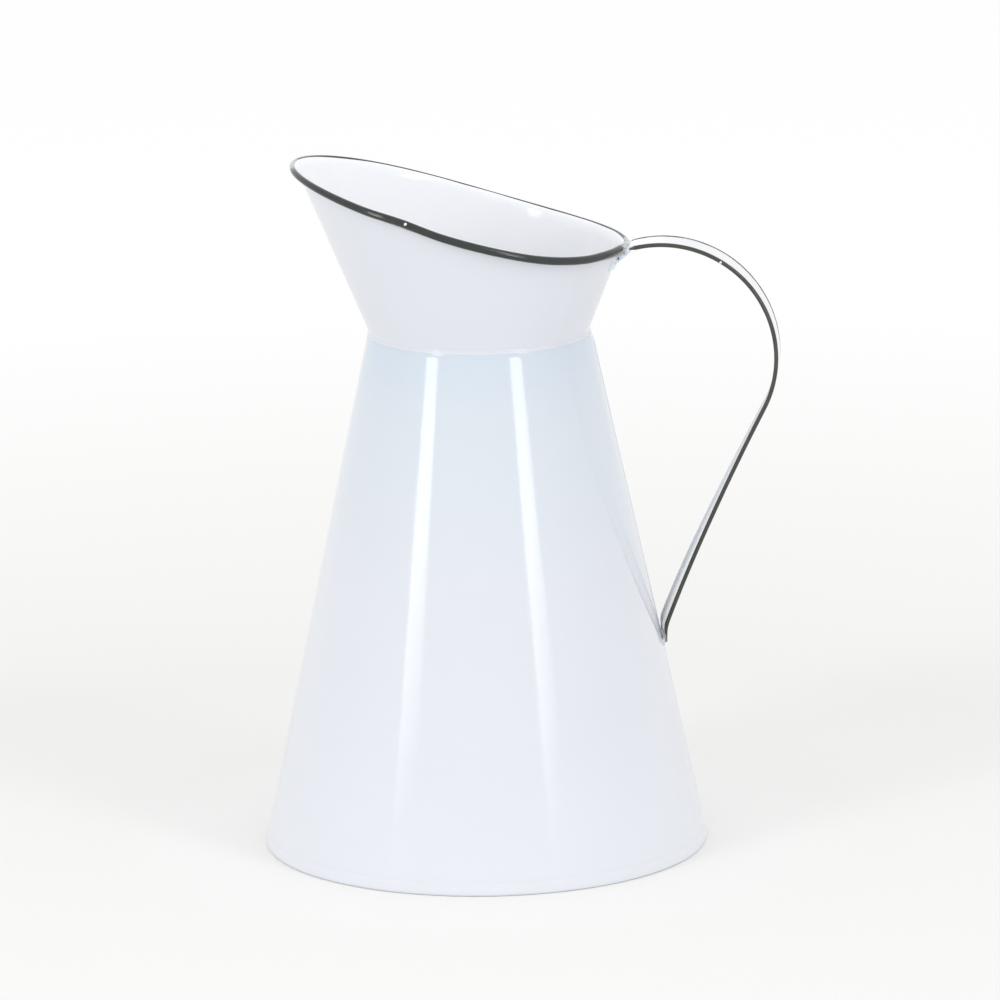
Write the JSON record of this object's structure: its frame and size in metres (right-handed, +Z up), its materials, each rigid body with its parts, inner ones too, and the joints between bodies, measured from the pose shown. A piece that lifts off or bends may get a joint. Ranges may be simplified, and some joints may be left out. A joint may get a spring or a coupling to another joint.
{
  "type": "milk jug",
  "caption": "Conical sheet-metal milk jug with a flared oblique collar forming a spout, a rolled dark rim and a strap handle.",
  "frame": {"origin": "centre of the base on the plane the jug stands on", "axes": "+Z up along the body's axis; the spout points towards -X and the handle stands on the +X side"},
  "size_m": [0.2067, 0.176, 0.2753],
  "materials": {
    "white_enamel": "gloss vitreous enamel on steel sheet",
    "enamelled_joint": "gloss enamel over a weld or filled seam",
    "dark_enamel": "gloss dark green-black enamel, thin and slightly worn",
    "steel_wire": "drawn steel wire, hidden inside the rolled edges"
  },
  "bodies": {
    "root": {"body_shell": "white_enamel", "base_pan": "white_enamel", "collar_shell": "white_enamel", "handle_strap": "white_enamel", "base_fillet": "enamelled_joint", "neck_fillet": "enamelled_joint", "handle_top_weld": "enamelled_joint", "handle_foot_weld": "enamelled_joint", "rim_roll": "dark_enamel", "handle_edge_near": "dark_enamel", "handle_edge_far": "dark_enamel", "rim_wire": "steel_wire", "handle_wire_near": "steel_wire", "handle_wire_far": "steel_wire"}
  },
  "joints": []
}
